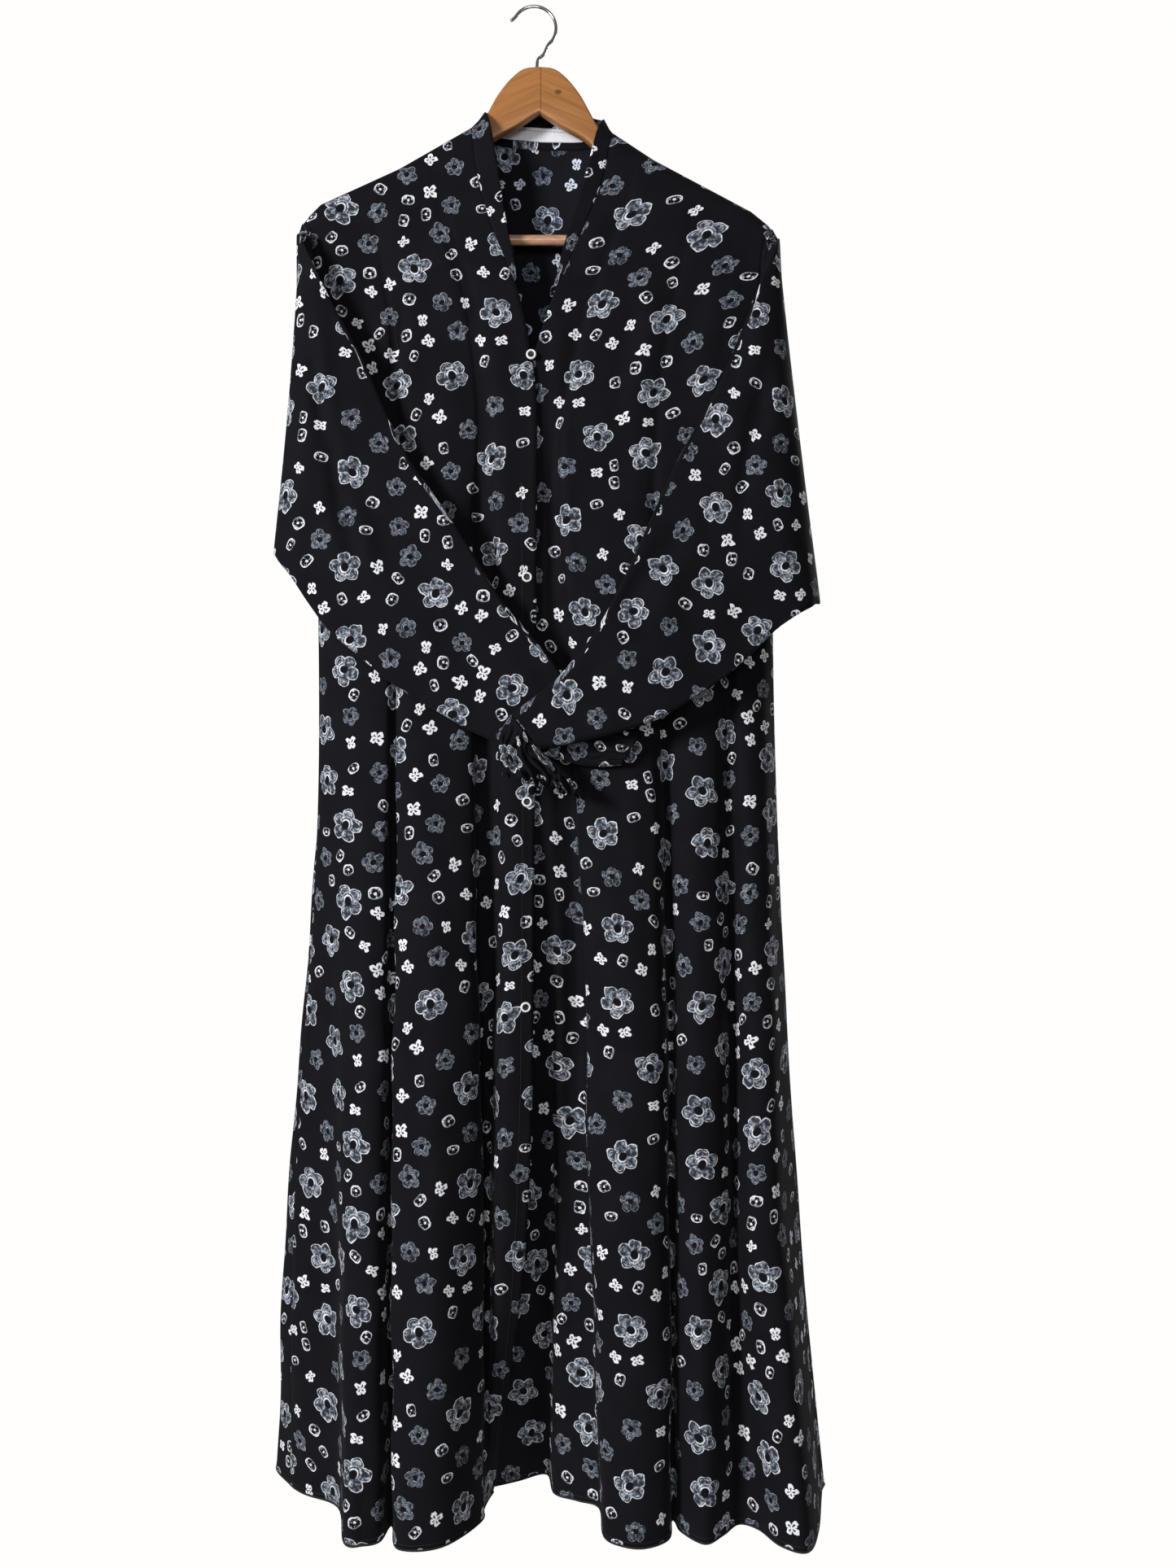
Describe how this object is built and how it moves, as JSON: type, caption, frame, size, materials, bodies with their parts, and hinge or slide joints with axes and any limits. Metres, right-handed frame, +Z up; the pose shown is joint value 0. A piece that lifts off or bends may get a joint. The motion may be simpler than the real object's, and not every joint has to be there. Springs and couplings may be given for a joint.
{
  "type": "abaya cloak on hanger",
  "caption": "Long open-front cloak with sleeves folded across the front, hung flat on a wooden hanger with a trouser bar and a wire hook.",
  "frame": {"origin": "inner crown of the hanger's hook, where it hangs on a rail or nail", "axes": "+Z up, +X to the viewer's right, -Y towards the viewer, out of the cloak's open front"},
  "size_m": [0.5564, 0.1835, 1.4679],
  "materials": {
    "print_cloth": "matt black woven cloth with a grey and white flower print",
    "hanger_wood": "clear satin lacquer",
    "bar_wood": "bare smooth wood",
    "hook_steel": "bright plated wire",
    "tape": "plain white twill",
    "snap": "white ring"
  },
  "bodies": {
    "root": {"hanger_body": "hanger_wood", "hanger_hook": "hook_steel", "trouser_bar": "bar_wood", "back": "print_cloth", "front_left": "print_cloth", "front_right": "print_cloth", "collar": "print_cloth", "neck_tape": "tape", "sleeve_left": "print_cloth", "sleeve_right": "print_cloth", "cuff_left": "print_cloth", "cuff_right": "print_cloth", "snap_1": "snap", "snap_2": "snap", "snap_3": "snap", "snap_4": "snap"}
  },
  "joints": []
}
